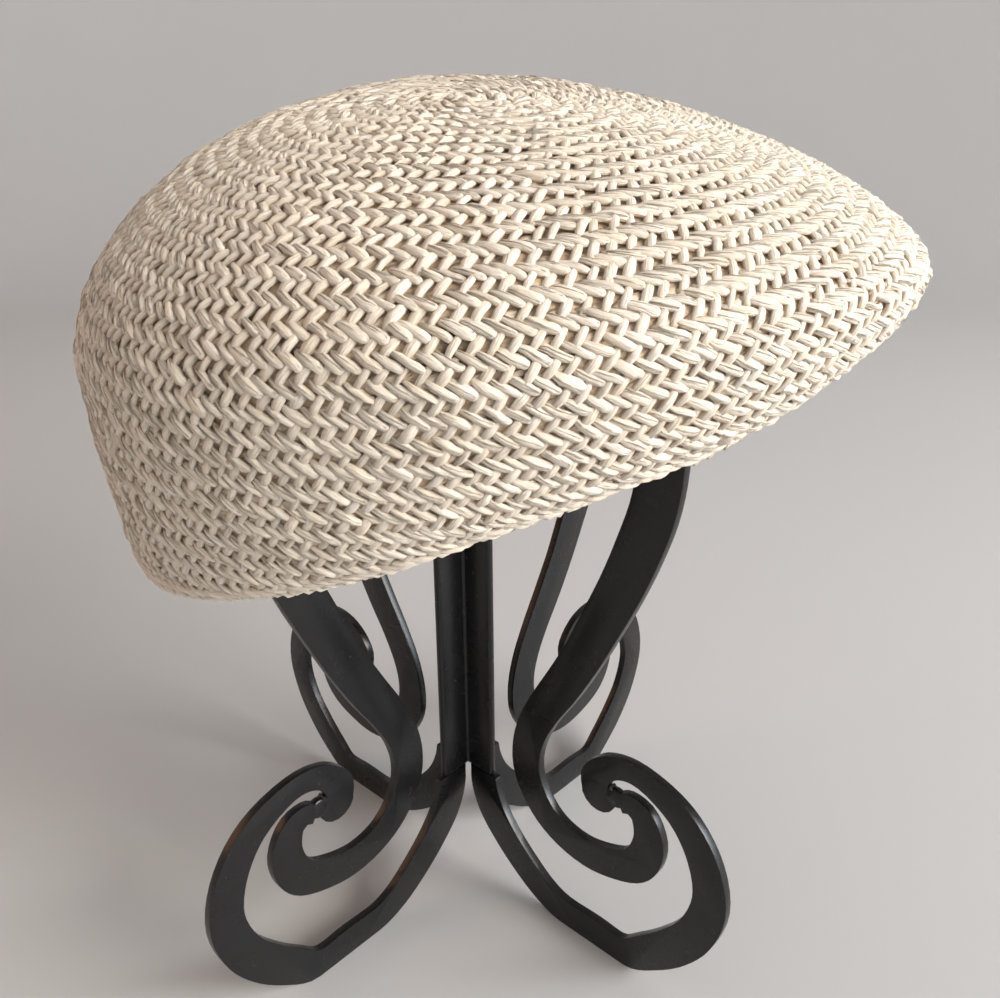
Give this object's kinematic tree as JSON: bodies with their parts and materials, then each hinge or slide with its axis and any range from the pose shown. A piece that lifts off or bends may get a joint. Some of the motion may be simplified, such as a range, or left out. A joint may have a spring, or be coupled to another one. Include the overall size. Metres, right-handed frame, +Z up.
{
  "type": "straw newsboy cap on a scroll display stand",
  "caption": "Woven straw flat cap with a full rounded crown and a short peak, resting on a black stand with scroll feet.",
  "frame": {"origin": "centre of the bounding box in plan, on the surface the stand's feet rest on", "axes": "+Z up, the peak points to +X, the wearer's left is +Y"},
  "size_m": [0.2462, 0.2222, 0.3016],
  "materials": {
    "straw": "natural straw yarn in a chevron weave",
    "black_plastic": "satin black moulded plastic"
  },
  "bodies": {
    "root": {"crown": "straw", "edge_roll": "straw", "peak": "straw", "post": "black_plastic", "foot_left_front": "black_plastic", "arm_left_front": "black_plastic", "foot_left_back": "black_plastic", "arm_left_back": "black_plastic", "foot_right_back": "black_plastic", "arm_right_back": "black_plastic", "foot_right_front": "black_plastic", "arm_right_front": "black_plastic"}
  },
  "joints": []
}
